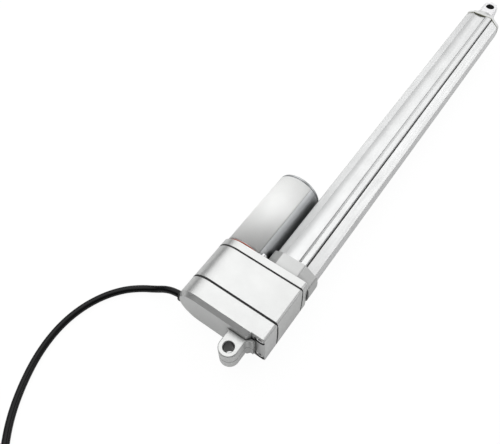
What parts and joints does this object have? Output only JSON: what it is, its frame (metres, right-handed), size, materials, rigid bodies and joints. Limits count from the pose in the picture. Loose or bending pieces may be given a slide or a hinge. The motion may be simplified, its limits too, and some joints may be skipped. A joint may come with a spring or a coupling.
{
  "type": "electric linear actuator",
  "caption": "Electric linear actuator with a motor beside a profile tube, a geared die-cast end, an eye at each end and a cable with bare leads.",
  "frame": {"origin": "centre of the rear eye's hole, halfway along it", "axes": "+X along the stroke from the rear eye to the front eye, +Y from the screw towards the motor, +Z along the axes of both eyes"},
  "size_m": [0.6321, 0.1437, 0.0376],
  "materials": {
    "die_cast": "satin, light grey",
    "cap_cast": "satin, light grey",
    "extrusion": "clear anodised, satin",
    "gasket": "matt black",
    "seal_red": "satin orange-red",
    "wiper": "satin grey",
    "motor_case": "zinc plated, semi-gloss",
    "fastener": "bright zinc",
    "gear_steel": "machined, oiled",
    "gear_plastic": "natural acetal",
    "bronze": "sintered, oiled",
    "copper": "enamelled winding and copper segments",
    "lamination": "stacked core with windings",
    "magnet": "sintered ferrite",
    "carbon": "graphite",
    "board": "solder-masked",
    "switch_case": "moulded black",
    "stainless": "ground and polished",
    "bearing_steel": "polished",
    "slide_plastic": "natural slide plastic",
    "cable_jacket": "glossy black sheath",
    "core_jacket": "insulated cores",
    "ferrule": "tinned, with an insulated collar"
  },
  "bodies": {
    "frame": {"rear_cover": "die_cast", "gear_housing": "die_cast", "front_plate": "die_cast", "front_cap": "cap_cast", "profile_tube": "extrusion", "rear_gasket": "gasket", "front_gasket": "gasket", "cap_gasket": "gasket", "cable_grommet": "gasket", "motor_seal_ring": "seal_red", "wiper_seal": "wiper", "motor_can": "motor_case", "motor_end_cap": "motor_case", "case_screws": "fastener", "side_screws": "fastener", "cap_screws": "fastener", "motor_screws": "fastener", "idler_axle": "gear_steel", "guide_bush": "slide_plastic", "idler_spacers": "slide_plastic", "brush_plate": "board", "motor_bushes": "bronze", "screw_bush": "bronze", "motor_magnets": "magnet", "motor_brushes": "carbon", "switch_board": "board", "limit_switches": "switch_case", "bearing_outer_ring": "bearing_steel", "bearing_balls": "bearing_steel", "cable": "cable_jacket", "cable_coil": "cable_jacket", "cable_tail": "cable_jacket", "lead_cores": "core_jacket", "lead_ferrules": "ferrule"},
    "rotor": {"motor_shaft": "gear_steel", "armature": "lamination", "commutator": "copper", "motor_pinion": "gear_steel"},
    "idler": {"idler_gear": "gear_steel"},
    "screw": {"lead_screw": "gear_steel", "screw_gear": "gear_plastic", "gear_key": "gear_steel", "gear_clip": "fastener", "screw_collar": "gear_steel", "bearing_inner_ring": "bearing_steel", "screw_guide_ring": "slide_plastic"},
    "rod": {"drive_nut": "slide_plastic", "inner_rod": "stainless", "rod_eye": "stainless", "rod_pin": "fastener"}
  },
  "joints": [
    {"name": "rotor_spin", "type": "hinge", "parent": "frame", "child": "rotor", "pos_m": [0.1, 0.035, 0], "axis": [-1, 0, 0], "range_deg": [0, 159509]},
    {"name": "idler_spin", "type": "hinge", "parent": "frame", "child": "idler", "pos_m": [0.05, 0.0196, 0], "axis": [-1, 0, 0], "range_deg": [-59817, 0]},
    {"name": "screw_spin", "type": "hinge", "parent": "frame", "child": "screw", "pos_m": [0.05, 0, 0], "axis": [-1, 0, 0], "range_deg": [0, 21601]},
    {"name": "rod_slide", "type": "slide", "parent": "frame", "child": "rod", "axis": [1, 0, 0], "range_m": [0, 0.3]}
  ],
  "couplings": [
    {"joint": "screw_spin", "follows": "rod_slide", "rad_per_m": 1256.6},
    {"joint": "idler_spin", "follows": "rod_slide", "rad_per_m": -3479.9},
    {"joint": "rotor_spin", "follows": "rod_slide", "rad_per_m": 9279.8}
  ]
}
